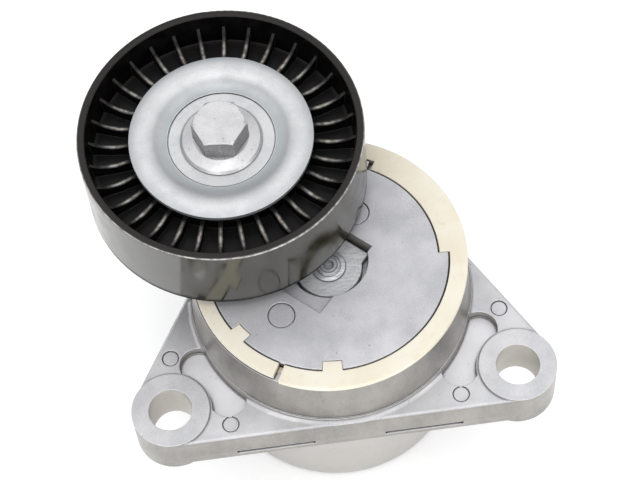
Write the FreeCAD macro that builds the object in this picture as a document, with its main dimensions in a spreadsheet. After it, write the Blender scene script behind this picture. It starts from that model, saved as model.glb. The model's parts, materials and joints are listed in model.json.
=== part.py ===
import FreeCAD, Part
import Sketcher
import os
import re

# Automatic belt tensioner with its idler pulley. Sizes in mm.
# Frame: +Z up along the pivot axis, away from the engine. The origin is where the pivot axis crosses the
# plane of the two ears' mounting faces. The ears lie towards -Y, one on each side of X = 0.

SIZES = {
    # mounting plate and its two ears
    "ear_x": 47.2,
    "ear_y": -29.2,
    "ear_radius": 10.6,
    "ear_hole_radius": 5.95,
    "ear_top": 14.5,
    "plate_low": 1.2,
    "plate_top": 14.0,
    "plate_edge_round": 0.9,
    "parting_z": 5.4,
    "draft_angle": 4.0,
    "side_angle": 30.6,
    "side_length": 44.0,
    "slot_near_x": 9.5,
    "slot_far_x": 31.0,
    "slot_depth": 0.9,
    "slot_height": 2.0,
    # kidney pockets between each ear and the cup
    "kidney_path_radius": 42.2,
    "kidney_half_width": 5.0,
    "kidney_start": -156.4,
    "kidney_span": 18.2,
    "kidney_depth": 3.0,
    "kidney_wall": 0.6,
    # cup, barrel and hub tube of the housing
    "cup_radius_low": 38.4,
    "cup_radius_top": 36.9,
    "cup_top": 31.0,
    "cup_bore_radius": 34.5,
    "cup_foot_flare": 1.3,
    "cup_foot_ledge": 0.3,
    "flare_end_y": 2.4,
    "ledge_z": 15.0,
    "barrel_radius": 34.4,
    "barrel_low": -35.3,
    "barrel_edge": 1.5,
    "barrel_floor": -31.3,
    "spring_room_radius": 30.2,
    "hub_radius": 11.5,
    "hub_root_radius": 14.5,
    "hub_root_top": -20.0,
    "hub_top": 18.0,
    "foot_recess_radius": 12.0,
    "foot_recess_top": -32.0,
    # travel of the arm and the stop channel in the ledge
    "travel": 60.0,
    "lug_centre_angle": 131.0,
    "lug_half_angle": 12.0,
    "stop_gap_angle": 0.5,
    "stop_top": 18.4,
    # pivot
    "shaft_radius": 6.0,
    "running_gap": 0.05,
    "bushing_radius": 8.0,
    "bushing_flange_radius": 11.0,
    "bushing_flange_height": 1.2,
    "foot_washer_thickness": 1.15,
    "foot_washer_gap": 0.2,
    "shaft_head_radius": 10.5,
    "shaft_head_height": 1.7,
    "thrust_gap": 0.1,
    "rivet_neck_radius": 4.0,
    "rivet_radius": 4.5,
    "rivet_core_radius": 2.8,
    "rivet_dimple_radius": 1.4,
    "rivet_core_taper": 0.2,
    "rivet_edge_height": 0.4,
    "rivet_shoulder_height": 0.7,
    "rivet_height": 1.2,
    # torsion spring
    "spring_radius": 26.4,
    "wire_radius": 2.8,
    "spring_low": -28.4,
    "spring_pitch": 7.2,
    "spring_turns": 7.0,
    "spring_angle": 20.0,
    "spring_end_gap": 0.3,
    "abutment_span": 9.0,
    "abutment_inner_radius": 23.6,
    # arm disc
    "disc_top": 33.2,
    "disc_under": 25.2,
    "disc_radius": 32.4,
    "disc_edge": 0.35,
    "disc_small_radius": 29.45,
    "skirt_low": 19.0,
    "skirt_thickness": 2.3,
    "arm_hub_radius": 15.0,
    "lug_low": 15.4,
    "lug_inner_radius": 30.6,
    "lug_outer_radius": 34.1,
    "recess_floor": 31.0,
    "recess_gap": 0.2,
    # keyed pocket and retainer washer
    "key_angle": 47.7,
    "pocket_floor": 27.2,
    "pocket_radius": 10.8,
    "pocket_reach": 10.1,
    "pocket_half_width": 7.35,
    "step_reach": 14.2,
    "step_depth": 0.9,
    "washer_thickness": 2.0,
    "washer_radius": 8.9,
    "washer_reach": 9.1,
    "washer_half_width": 6.6,
    # damper ring
    "ring_radius": 37.4,
    "ring_left_radius": 36.6,
    "ring_bore_radius": 32.65,
    "flange_low": 31.2,
    "ring_skirt_low": 19.3,
    "ring_skirt_radius": 34.42,
    "ring_wide_bore": 29.95,
    "wide_start": -4.0,
    "wide_span": 66.3,
    "wide_end_gap": 2.5,
    "ring_overlap": 0.1,
    "left_span": 100.0,
    "split_start": -120.4,
    "split_span": 2.8,
    "lap_span": 9.0,
    "lap_gap": 0.2,
    # pulley and its seat on the arm
    "pulley_x": -24.0,
    "pulley_y": 27.6,
    "pulley_radius": 38.0,
    "pulley_low": 36.2,
    "pulley_top": 61.1,
    "rim_edge": 0.6,
    "rim_thickness": 2.1,
    "rim_bevel": 0.35,
    "rim_root_radius": 34.8,
    "web_top": 50.8,
    "web_low": 46.8,
    "pulley_hub_radius": 23.4,
    "pulley_hub_top": 54.8,
    "pulley_hub_low": 44.0,
    "rib_count": 32,
    "rib_root_half": 0.45,
    "rib_wide_half": 0.62,
    "rib_tip_half": 0.3,
    "rib_wide_radius": 28.5,
    "rib_angle": 4.5,
    "rib_foot_radius": 25.6,
    "rib_tip_drop": 2.6,
    "rib_sag_radius": 9.0,
    "rib_bite": 0.5,
    "seat_radius": 13.5,
    "seat_low": 31.4,
    "seat_cone_radius": 17.0,
    "seat_cone_top": 39.0,
    "seat_top": 42.2,
    # deep-groove ball bearing 6203: 17 bore, 40 outside, 12 wide
    "bearing_low": 43.4,
    "bearing_width": 12.0,
    "bearing_bore": 8.5,
    "bearing_outside": 20.0,
    "inner_land_radius": 12.2,
    "outer_land_radius": 16.3,
    "ball_circle_radius": 14.25,
    "ball_radius": 3.35,
    "groove_radius": 3.4,
    "ball_count": 8,
    "seal_outer_radius": 16.8,
    "seal_thickness": 1.0,
    "seal_inset": 0.3,
    "seal_gap": 0.15,
    "cage_inner_radius": 13.0,
    "cage_outer_radius": 15.5,
    "cage_thickness": 0.7,
    "cage_cap_radius": 4.05,
    "cage_pocket_radius": 3.42,
    "cage_rivet_radius": 0.5,
    "cage_rivet_reach": 1.0,
    # dust shields, spacer and bolt
    "shield_thickness": 1.1,
    "shield_flat_radius": 14.1,
    "shield_step": 0.25,
    "shield_groove_width": 0.3,
    "shield_groove_depth": 0.35,
    "shield_run": 6.5,
    "shield_rise": 2.3,
    "shield_crest_radius": 9.0,
    "shield_radius": 24.5,
    "rear_shield_thickness": 1.2,
    "rear_shield_radius": 24.0,
    "rear_shield_drop": 1.6,
    "rear_shield_ledge": 0.5,
    "bolt_radius": 4.97,
    "bolt_hole_radius": 5.0,
    "clear_hole_radius": 5.2,
    "bolt_low": 32.4,
    "bolt_point": 0.8,
    "bolt_flange_radius": 10.9,
    "bolt_flange_edge": 0.3,
    "bolt_shoulder_radius": 10.3,
    "bolt_shoulder_rise": 0.7,
    "bolt_collar_top": 58.6,
    "hex_corner_radius": 7.5,
    "hex_top": 65.2,
    "hex_crown_radius": 6.7,
    "hex_crown_angle": 38.0,
    "hex_angle": -7.3,
    # marks left by the die's ejector pins
    "mark_depth": 0.2,
    "mark_line_depth": 0.55,
    "mark_line_width": 0.32,
    "disc_mark_radius": 3.75,
    "plate_mark_radius": 2.35,
    # how far a cutting tool stands past the face that it cuts, and fused solids reach into each other
    "margin": 2.0,
    "overlap": 1.0,
}

# Tabs of the damper ring that reach inwards over the disc: start angle, span and inner radius.
RING_TABS = {
    "left": ("-149.0", "8.4", "29.9"),
    "front": ("-99.8", "9.4", "29.8"),
    "top": ("64.4", "16.0", "26.3"),
}
DISC_MARKS = {"front": ("-14.3", "-14.5"), "back": ("9.2", "13.3")}
PLATE_MARKS = {
    "left_outer": ("-45.8", "-13.8"),
    "left_front": ("-31.5", "-35.4"),
    "right_outer": ("44.9", "-11.6"),
    "right_front": ("30.8", "-35.4"),
}

TOLERANCE = 1e-6

document = FreeCAD.newDocument("belt_tensioner")
sheet = document.addObject("Spreadsheet::Sheet", "sizes")
for row, (alias, size) in enumerate(SIZES.items(), start=1):
    sheet.set("A%d" % row, alias)
    sheet.set("B%d" % row, str(size))
    sheet.setAlias("B%d" % row, alias)
document.recompute()

nodes = []


def full(expression):
    """The expression with each size's name pointing at its cell of the sheet."""
    return re.sub(r"[a-z][a-z_]*", lambda word: ("sizes." if word[0] in SIZES else "") + word[0], expression)


def number(expression):
    """The present value of an expression."""
    return float(sheet.evalExpression(full(expression)))


def bind(thing, **expressions):
    """Tie properties of an object to expressions of the sheet."""
    for prop, expression in expressions.items():
        thing.setExpression(prop, full(expression))


def place(thing, x="0", y="0", z="0", turn="0"):
    """Put an object at x, y, z, turned about the vertical."""
    upright = FreeCAD.Vector(0, 0, 1)
    # any turn but 0 fixes the axis, and the expression then sets the angle
    thing.Placement = FreeCAD.Placement(FreeCAD.Vector(), FreeCAD.Rotation(upright, 1))
    for axis, expression in (("x", x), ("y", y), ("z", z)):
        thing.setExpression("Placement.Base." + axis, full(expression))
    thing.setExpression("Placement.Rotation.Angle", full(turn))
    return thing


def finish(thing, label):
    """Name a finished sub-part and list it for export."""
    thing.Label = label
    nodes.append(thing)
    return thing


# ---- solids from primitives ----

def cylinder(name, radius, low, high, x="0", y="0", start="0", span="360"):
    """An upright cylinder, or a wedge of one, between two heights."""
    solid = document.addObject("Part::Cylinder", name)
    bind(solid, Radius=radius, Height="(%s) - (%s)" % (high, low), Angle=span)
    return place(solid, x, y, low, start)


def cone(name, low_radius, high_radius, low, high, x="0", y="0"):
    """An upright cone between two heights."""
    solid = document.addObject("Part::Cone", name)
    bind(solid, Radius1=low_radius, Radius2=high_radius, Height="(%s) - (%s)" % (high, low))
    return place(solid, x, y, low)


def box(name, near_x, far_x, near_y, far_y, low, high, turn="0"):
    """A box between two corners of its own, turned about the vertical through the origin."""
    solid = document.addObject("Part::Box", name)
    bind(solid, Length="(%s) - (%s)" % (far_x, near_x), Width="(%s) - (%s)" % (far_y, near_y))
    bind(solid, Height="(%s) - (%s)" % (high, low))
    x = "(%s) * cos(%s) - (%s) * sin(%s)" % (near_x, turn, near_y, turn)
    y = "(%s) * sin(%s) + (%s) * cos(%s)" % (near_x, turn, near_y, turn)
    return place(solid, x, y, low, turn)


def ball(name, radius, x, y, z):
    """A sphere."""
    solid = document.addObject("Part::Sphere", name)
    bind(solid, Radius=radius)
    return place(solid, x, y, z)


def fuse(name, *solids):
    """One solid of several."""
    joined = document.addObject("Part::MultiFuse", name)
    joined.Shapes = list(solids)
    return joined


def cut(name, base, *tools):
    """A solid less one or more tools."""
    tool = tools[0] if len(tools) == 1 else fuse(name + "_tools", *tools)
    result = document.addObject("Part::Cut", name)
    result.Base = base
    result.Tool = tool
    return result


def common(name, first, second):
    """What two solids share."""
    result = document.addObject("Part::Common", name)
    result.Base = first
    result.Tool = second
    return result


def arc_wall(name, inner, outer, low, high, start, span):
    """A piece of a round wall about the pivot: a sector between two radii and two heights."""
    whole = cylinder(name + "_whole", outer, low, high, start=start, span=span)
    bore = cylinder(name + "_bore", inner, "(%s) - margin" % low, "(%s) + margin" % high)
    return cut(name, whole, bore)


# ---- sketched bodies ----

def new_body(name):
    """An empty PartDesign body."""
    return document.addObject("PartDesign::Body", name)


def new_sketch(body, name, role, offset=None):
    """A sketch on one of the body's own origin planes."""
    plane = [feature for feature in body.Origin.OriginFeatures if feature.Role == role][0]
    sketch = body.newObject("Sketcher::SketchObject", name)
    sketch.AttachmentSupport = (plane, [""])
    sketch.MapMode = "FlatFace"
    if offset is not None:
        sketch.setExpression("AttachmentOffset.Base.z", full(offset))
    return sketch


def arc_between(start, end, bend):
    """The shorter arc from start to end, with centre on the left when bend is positive."""
    chord = end.sub(start)
    middle = start.add(end).multiply(0.5)
    left = FreeCAD.Vector(-chord.y, chord.x, 0).normalize()
    rise = (bend * bend - chord.Length ** 2 / 4) ** 0.5
    side = 1 if bend > 0 else -1
    centre = middle.add(left.multiply(side * rise))
    outward = middle.sub(centre)
    if outward.Length < TOLERANCE:
        outward = FreeCAD.Vector(chord.y, -chord.x, 0).multiply(side)
    crown = centre.add(outward.normalize().multiply(abs(bend)))
    return Part.Arc(start, crown, end)


def pin_corner(sketch, edge, vertex, corner):
    """Hold a vertex at the corner's two coordinates."""
    for kind, axis, expression in (("DistanceX", -2, corner[0]), ("DistanceY", -1, corner[1])):
        if expression == "0":
            sketch.addConstraint(Sketcher.Constraint("PointOnObject", edge, vertex, axis))
            continue
        held = sketch.addConstraint(Sketcher.Constraint(kind, -1, 1, edge, vertex, number(expression)))
        sketch.setExpression("Constraints[%d]" % held, full(expression))


def outline(sketch, corners):
    """A closed outline. A corner is (x, y), or (x, y, bend) where an arc of that radius arrives at it.

    The bend is positive where the arc turns left and negative where it turns right.
    """
    points = [FreeCAD.Vector(number(corner[0]), number(corner[1]), 0) for corner in corners]
    ends = []
    for index, corner in enumerate(corners):
        start, end = points[index - 1], points[index]
        if len(corner) == 2:
            sketch.addGeometry(Part.LineSegment(start, end), False)
            ends.append((1, 2))
            continue
        bend = number(corner[2])
        sketch.addGeometry(arc_between(start, end, bend), False)
        ends.append((1, 2) if bend > 0 else (2, 1))
    for index, corner in enumerate(corners):
        following = (index + 1) % len(corners)
        join = Sketcher.Constraint("Coincident", index, ends[index][1], following, ends[following][0])
        sketch.addConstraint(join)
        pin_corner(sketch, index, ends[index][1], corner)
        if len(corner) == 3:
            held = sketch.addConstraint(Sketcher.Constraint("Radius", index, abs(number(corner[2]))))
            sketch.setExpression("Constraints[%d]" % held, full("abs(%s)" % corner[2]))


def circle(sketch, x, y, radius):
    """A circle in a sketch."""
    centre = FreeCAD.Vector(number(x), number(y), 0)
    edge = sketch.addGeometry(Part.Circle(centre, FreeCAD.Vector(0, 0, 1), number(radius)), False)
    pin_corner(sketch, edge, 3, (x, y))
    held = sketch.addConstraint(Sketcher.Constraint("Radius", edge, number(radius)))
    sketch.setExpression("Constraints[%d]" % held, full(radius))


def turned(name, corners, x="0", y="0"):
    """A body turned on a lathe: corners are (radius, height) of its section."""
    body = new_body(name)
    section = new_sketch(body, name + "_section", "XZ_Plane")
    outline(section, corners)
    revolution = body.newObject("PartDesign::Revolution", name + "_turned")
    revolution.Profile = section
    revolution.ReferenceAxis = (section, ["V_Axis"])
    revolution.Angle = 360
    body.Tip = revolution
    place(body, x, y)
    return body


def pin_mark(name, radius, top, x, y):
    """Tools for the mark of an ejector pin: a shallow round sink with a deeper line round it."""
    sink = cylinder(name + "_sink", radius, "%s - mark_depth" % top, "%s + overlap" % top, x, y)
    line = cylinder(name + "_line", radius, "%s - mark_line_depth" % top, "%s + overlap" % top, x, y)
    core = cylinder(name + "_core", "%s - mark_line_width" % radius, "%s - margin" % top, "%s + margin" % top,
                    x, y)
    return [sink, cut(name + "_ring", line, core)]


# ---- housing ----

def plate_corners():
    """The plate's outline: flat front edge, round ears and straight sides that run up into the cup."""
    ear_low = "ear_y - ear_radius"
    side_x = "ear_x + ear_radius * cos(side_angle)"
    side_y = "ear_y + ear_radius * sin(side_angle)"
    shoulder_x = side_x + " - side_length * sin(side_angle)"
    shoulder_y = side_y + " + side_length * cos(side_angle)"
    return [
        ("ear_x", ear_low),
        (side_x, side_y, "ear_radius"),
        (shoulder_x, shoulder_y),
        ("-(%s)" % shoulder_x, shoulder_y),
        ("-(%s)" % side_x, side_y),
        ("-ear_x", ear_low, "ear_radius"),
    ]


def make_plate():
    """The plate: upright sides above the parting line, drafted sides below it, rounded top edge."""
    body = new_body("plate")
    sketch = new_sketch(body, "plate_outline", "XY_Plane", "parting_z")
    outline(sketch, plate_corners())
    upper = body.newObject("PartDesign::Pad", "plate_upper")
    upper.Profile = sketch
    bind(upper, Length="plate_top - parting_z")
    lower = body.newObject("PartDesign::Pad", "plate_lower")
    lower.Profile = sketch
    lower.Reversed = True
    bind(lower, Length="parting_z - plate_low", TaperAngle="-draft_angle")
    body.Tip = lower
    document.recompute()
    top = number("plate_top")
    edges = []
    for index, edge in enumerate(lower.Shape.Edges, start=1):
        box_of_edge = edge.BoundBox
        on_top = abs(box_of_edge.ZMin - top) < TOLERANCE and abs(box_of_edge.ZMax - top) < TOLERANCE
        if on_top and box_of_edge.YMin < number("plate_low"):
            edges.append("Edge%d" % index)
    rounded = body.newObject("PartDesign::Fillet", "plate_rounded")
    rounded.Base = (lower, edges)
    bind(rounded, Radius="plate_edge_round")
    body.Tip = rounded
    return body


def make_shell():
    """Cup, barrel, floor and hub tube, turned in one."""
    barrel_corner = "barrel_low + barrel_edge"
    return turned("shell", [
        ("foot_recess_radius", "barrel_low"),
        ("barrel_radius - barrel_edge", "barrel_low"),
        ("barrel_radius", barrel_corner, "barrel_edge"),
        ("barrel_radius", "plate_low"),
        ("cup_radius_low", "plate_low"),
        ("cup_radius_low", "plate_top"),
        ("cup_radius_top", "cup_top"),
        ("cup_bore_radius", "cup_top"),
        ("cup_bore_radius", "ledge_z"),
        ("spring_room_radius", "ledge_z"),
        ("spring_room_radius", "barrel_floor"),
        ("hub_root_radius", "barrel_floor"),
        ("hub_radius", "hub_root_top"),
        ("hub_radius", "hub_top"),
        ("bushing_radius", "hub_top"),
        ("bushing_radius", "foot_recess_top"),
        ("foot_recess_radius", "foot_recess_top"),
    ])


def make_flare():
    """The narrow ledge and hollow fillet where the cup rises from the plate, on the plate's front half."""
    foot = "cup_radius_low + cup_foot_ledge"
    flare = turned("flare_ring", [
        ("cup_radius_low - overlap", "plate_top - overlap"),
        (foot + " + cup_foot_flare", "plate_top - overlap"),
        (foot + " + cup_foot_flare", "plate_top"),
        (foot, "plate_top + cup_foot_flare", "-cup_foot_flare"),
        ("cup_radius_low - overlap", "plate_top + cup_foot_flare"),
    ])
    front = box(
        "flare_front", "-ear_x", "ear_x", "ear_y - ear_radius", "flare_end_y", "plate_low", "cup_top")
    return common("flare", flare, front)


def make_kidney(side, sign):
    """The tool for one kidney pocket: an arc slot, less the ear's boss and the cup."""
    floor = "plate_top - kidney_depth"
    high = "plate_top + kidney_depth"
    start = "kidney_start" if sign < 0 else "-180 - kidney_start - kidney_span"
    ends = [start, "(%s) + kidney_span" % start]
    inner = "kidney_path_radius - kidney_half_width"
    outer = "kidney_path_radius + kidney_half_width"
    pieces = [arc_wall(side + "_kidney_wall", inner, outer, floor, high, start, "kidney_span")]
    for index, angle in enumerate(ends):
        x = "kidney_path_radius * cos(%s)" % angle
        y = "kidney_path_radius * sin(%s)" % angle
        pieces.append(cylinder("%s_kidney_end_%d" % (side, index), "kidney_half_width", floor, high, x, y))
    slot = fuse(side + "_kidney_slot", *pieces)
    ear_x = "ear_x" if sign > 0 else "-ear_x"
    boss = cylinder(side + "_kidney_boss", "ear_radius + kidney_wall", floor, high, ear_x, "ear_y")
    cup = cylinder(side + "_kidney_cup", "cup_radius_low", floor, high)
    return cut(side + "_kidney", slot, boss, cup)


def make_base_housing():
    """The die-cast housing."""
    plate_bore = cylinder("plate_bore", "cup_bore_radius", "plate_low - margin", "ear_top")
    plate = cut("open_plate", make_plate(), plate_bore)
    channel_end = "lug_centre_angle + lug_half_angle + stop_gap_angle"
    channel = "travel + 2 * lug_half_angle + 2 * stop_gap_angle"
    stop_low = "ledge_z - overlap"
    solids = [
        plate,
        make_shell(),
        make_flare(),
        arc_wall("stop_block", "spring_room_radius", "cup_bore_radius + overlap", stop_low, "stop_top",
                 channel_end, "360 - (%s)" % channel),
        arc_wall("floor_abutment", "abutment_inner_radius", "spring_room_radius + overlap",
                 "barrel_floor - overlap", "spring_low + wire_radius",
                 "spring_angle - abutment_span - spring_end_gap", "abutment_span"),
    ]
    tools = []
    for side, sign in (("left", -1), ("right", 1)):
        ear_x = "ear_x" if sign > 0 else "-ear_x"
        solids.append(cylinder(side + "_boss", "ear_radius", "0", "ear_top", ear_x, "ear_y"))
        tools.append(cylinder(side + "_ear_hole", "ear_hole_radius", "-margin", "ear_top + margin",
                              ear_x, "ear_y"))
        tools.append(make_kidney(side, sign))
        near, far = ("slot_near_x", "slot_far_x") if sign > 0 else ("-slot_far_x", "-slot_near_x")
        front = "ear_y - ear_radius"
        tools.append(box(side + "_slot", near, far, front + " - margin", front + " + slot_depth",
                         "parting_z - slot_height", "parting_z"))
    for name, (x, y) in PLATE_MARKS.items():
        tools += pin_mark(name + "_mark", "plate_mark_radius", "plate_top", x, y)
    whole = fuse("whole_housing", *solids)
    return finish(cut("housing", whole, *tools), "base_housing")


# ---- pivot ----

def make_pivot_bushing():
    """Flanged plastic sleeve in the hub tube."""
    bore = "shaft_radius + running_gap"
    return finish(turned("bushing", [
        (bore, "foot_recess_top + thrust_gap"),
        ("bushing_radius", "foot_recess_top + thrust_gap"),
        ("bushing_radius", "hub_top"),
        ("bushing_flange_radius", "hub_top"),
        ("bushing_flange_radius", "hub_top + bushing_flange_height"),
        (bore, "hub_top + bushing_flange_height"),
    ]), "pivot_bushing")


def make_foot_washer():
    """Steel thrust washer between the housing and the shaft's head."""
    low = "foot_recess_top - foot_washer_thickness"
    bore = "shaft_radius + foot_washer_gap"
    return finish(turned("lower_washer", [
        (bore, low),
        ("shaft_head_radius", low),
        ("shaft_head_radius", "foot_recess_top"),
        (bore, "foot_recess_top"),
    ]), "foot_thrust_washer")


def make_pivot_shaft():
    """Headed shaft, riveted over the retainer washer at its upper end."""
    head_top = "foot_recess_top - foot_washer_thickness - thrust_gap"
    washer_top = "pocket_floor + washer_thickness"
    return finish(turned("shaft", [
        ("0", head_top + " - shaft_head_height"),
        ("shaft_head_radius", head_top + " - shaft_head_height"),
        ("shaft_head_radius", head_top),
        ("shaft_radius", head_top),
        ("shaft_radius", "pocket_floor"),
        ("rivet_neck_radius", "pocket_floor"),
        ("rivet_neck_radius", washer_top),
        ("rivet_radius", washer_top),
        ("rivet_radius", washer_top + " + rivet_edge_height"),
        ("rivet_core_radius + rivet_core_taper", washer_top + " + rivet_shoulder_height"),
        ("rivet_core_radius", washer_top + " + rivet_height"),
        ("rivet_dimple_radius", washer_top + " + rivet_height"),
        ("rivet_dimple_radius - rivet_core_taper", washer_top + " + rivet_shoulder_height"),
        ("0", washer_top + " + rivet_shoulder_height"),
    ]), "pivot_shaft")


def make_retainer_washer():
    """Keyed washer: round, with one square end that fits the pocket's square end."""
    top = "pocket_floor + washer_thickness"
    disc = cylinder("washer_round", "washer_radius", "pocket_floor", top)
    key = box("washer_key", "0", "washer_reach", "-washer_half_width", "washer_half_width",
              "pocket_floor", top, "key_angle")
    hole = cylinder("washer_hole", "rivet_neck_radius", "pocket_floor - margin", top + " + margin")
    return finish(cut("washer", fuse("washer_blank", disc, key), hole), "retainer_washer")


def make_torsion_spring():
    """Round-wire torsion spring, its ends cut square against the two abutments."""
    body = new_body("spring")
    section = new_sketch(body, "wire_section", "XZ_Plane")
    circle(section, "spring_radius", "spring_low", "wire_radius")
    coil = body.newObject("PartDesign::AdditiveHelix", "coil")
    coil.Profile = section
    coil.ReferenceAxis = (section, ["V_Axis"])
    coil.Mode = "pitch-turns-angle"
    bind(coil, Pitch="spring_pitch", Turns="spring_turns")
    body.Tip = coil
    place(body, turn="spring_angle")
    return finish(body, "torsion_spring")


# ---- arm ----

def make_pocket():
    """Tools for the keyed pocket: a round well with one square end, and a shallow rectangular step."""
    high = "disc_top + margin"
    well = cylinder("well_round", "pocket_radius", "pocket_floor", high)
    limit = box("well_limit", "-pocket_radius - margin", "pocket_reach", "-pocket_radius - margin",
                "pocket_radius + margin", "pocket_floor - margin", high, "key_angle")
    square = box("well_square", "0", "pocket_reach", "-pocket_half_width", "pocket_half_width",
                 "pocket_floor", high, "key_angle")
    step = box("well_step", "-step_reach", "0", "-pocket_half_width", "pocket_half_width",
               "disc_top - step_depth", high, "key_angle")
    return [common("well", well, limit), square, step]


def make_ring_recesses():
    """Tools that let the damper ring's wide part and tabs into the disc."""
    high = "disc_top + margin"
    outer = "disc_radius + margin"
    tools = [arc_wall("wide_recess", "disc_small_radius", outer, "recess_floor", high,
                      "wide_start", "wide_span")]
    for name, (start, span, inner) in RING_TABS.items():
        tools.append(arc_wall(name + "_recess", inner + " - recess_gap", outer, "recess_floor", high,
                              start + " - recess_gap", span + " + 2 * recess_gap"))
    return tools


def make_tension_arm():
    """The die-cast arm: disc, skirt with its stop lug, hub and the pulley's seat."""
    skirt_outer = "disc_radius - recess_gap / 2"
    skirt_inner = "disc_radius - skirt_thickness"
    lug_start = "lug_centre_angle - lug_half_angle"
    spring_top = "spring_low + spring_pitch * spring_turns"
    inside_disc = "disc_under + overlap"
    solids = [
        cylinder("disc", "disc_radius", "disc_under", "disc_top - disc_edge"),
        cone("disc_bevel", "disc_radius", "disc_radius - disc_edge", "disc_top - disc_edge", "disc_top"),
        cylinder("arm_hub", "arm_hub_radius", "hub_top + bushing_flange_height + thrust_gap", inside_disc),
        arc_wall("skirt", skirt_inner, skirt_outer, "skirt_low", inside_disc, "0", "360"),
        arc_wall("lug", "lug_inner_radius", "lug_outer_radius", "lug_low", "skirt_low", lug_start,
                 "2 * lug_half_angle"),
        arc_wall("arm_abutment", "abutment_inner_radius", "disc_radius - overlap",
                 spring_top + " - wire_radius", inside_disc,
                 "spring_angle + 360 * spring_turns + spring_end_gap", "abutment_span"),
        cylinder("seat", "seat_radius", "seat_low", "seat_top", "pulley_x", "pulley_y"),
        cone("seat_foot", "seat_cone_radius", "seat_radius", "disc_top", "seat_cone_top",
             "pulley_x", "pulley_y"),
    ]
    tools = make_pocket() + make_ring_recesses()
    tools.append(cylinder("arm_bore", "shaft_radius", "hub_top", "disc_top"))
    tools.append(cylinder("bolt_hole", "bolt_hole_radius", "disc_under - margin", "seat_top + margin",
                          "pulley_x", "pulley_y"))
    for name, (x, y) in DISC_MARKS.items():
        tools += pin_mark(name + "_disc_mark", "disc_mark_radius", "disc_top", x, y)
    return finish(cut("arm", fuse("whole_arm", *solids), *tools), "tension_arm")


def make_damper_ring():
    """Nylon ring, split by a stepped lap: a flange over the cup's rim and a skirt that rubs inside the cup."""
    full_turn = ("0", "360")
    flange = "ring_bore_radius + ring_overlap"
    solids = [
        arc_wall("ring_flange", "ring_bore_radius", "ring_radius", "flange_low", "disc_top", *full_turn),
        arc_wall("ring_skirt", "ring_bore_radius", "ring_skirt_radius", "ring_skirt_low", "flange_low",
                 *full_turn),
        arc_wall("ring_wide", "ring_wide_bore", flange, "flange_low", "disc_top", "wide_start + recess_gap",
                 "wide_span - wide_end_gap"),
    ]
    for name, (start, span, inner) in RING_TABS.items():
        solids.append(arc_wall(name + "_tab", inner, flange, "flange_low", "disc_top", start, span))
    high = "disc_top + margin"
    under_flange = "flange_low - ring_overlap"
    through = ("ring_bore_radius - margin", "ring_radius + margin")
    lap_low = "flange_low - lap_gap"
    lap_start = "split_start + split_span / 2"
    tools = [
        arc_wall("flange_split", *through, lap_low, high, "split_start", "split_span"),
        arc_wall("lap_slit", *through, lap_low, "flange_low", lap_start, "lap_span"),
        arc_wall("skirt_split", *through, "ring_skirt_low - margin", "flange_low", lap_start + " + lap_span",
                 "split_span"),
        arc_wall("ring_left_step", "ring_left_radius", "ring_radius + margin", under_flange, high,
                 "split_start - left_span", "left_span + split_span / 2"),
        cylinder("ring_seat_room", "seat_radius + recess_gap", under_flange, high, "pulley_x", "pulley_y"),
    ]
    return finish(cut("ring", fuse("whole_ring", *solids), *tools), "damper_ring")


# ---- pulley ----

def on_pulley_axis(name, corners):
    """A turned body on the pulley's axis."""
    return turned(name, corners, "pulley_x", "pulley_y")


def make_ribbed_hub():
    """Hub ring with thin ribs round it, whose upper and lower edges sag between the hub and the rim."""
    body = on_pulley_axis("hub", [
        ("bearing_outside", "pulley_hub_low"),
        ("pulley_hub_radius", "pulley_hub_low"),
        ("pulley_hub_radius", "pulley_hub_top"),
        ("bearing_outside", "pulley_hub_top"),
    ])
    rib_tip = "pulley_radius - rim_thickness / 2"
    rib_root = "pulley_hub_radius - rib_bite"
    plan = new_sketch(body, "rib_plan", "XY_Plane")
    outline(plan, [
        (rib_root, "-rib_root_half"),
        ("rib_wide_radius", "-rib_wide_half"),
        (rib_tip, "-rib_tip_half"),
        (rib_tip, "rib_tip_half"),
        ("rib_wide_radius", "rib_wide_half"),
        (rib_root, "rib_root_half"),
    ])
    plan.setExpression("AttachmentOffset.Base.z", full("pulley_low + rib_tip_drop"))
    rib = body.newObject("PartDesign::Pad", "rib")
    rib.Profile = plan
    bind(rib, Length="pulley_top - pulley_low - 2 * rib_tip_drop")
    body.Tip = rib
    document.recompute()
    ribs = body.newObject("PartDesign::PolarPattern", "ribs")
    ribs.Originals = [rib]
    ribs.Axis = (plan, ["N_Axis"])
    ribs.Angle = 360
    bind(ribs, Occurrences="rib_count")
    body.Tip = ribs
    upper_edge = ("pulley_hub_top", "pulley_top - rib_tip_drop", "pulley_top + margin", "rib_sag_radius")
    lower_edge = ("pulley_hub_low", "pulley_low + rib_tip_drop", "pulley_low - margin", "-rib_sag_radius")
    for name, (foot, tip, clear, bend) in (("upper", upper_edge), ("lower", lower_edge)):
        sag = new_sketch(body, name + "_sag", "XZ_Plane")
        outline(sag, [
            (rib_root, clear),
            (rib_root, foot),
            ("rib_foot_radius", foot),
            (rib_tip, tip, bend),
            (rib_tip + " + margin", tip),
            (rib_tip + " + margin", clear),
        ])
        trim = body.newObject("PartDesign::Groove", name + "_trim")
        trim.Profile = sag
        trim.ReferenceAxis = (sag, ["V_Axis"])
        trim.Angle = 360
        body.Tip = trim
    place(body, "pulley_x", "pulley_y", turn="rib_angle")
    return body


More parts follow.
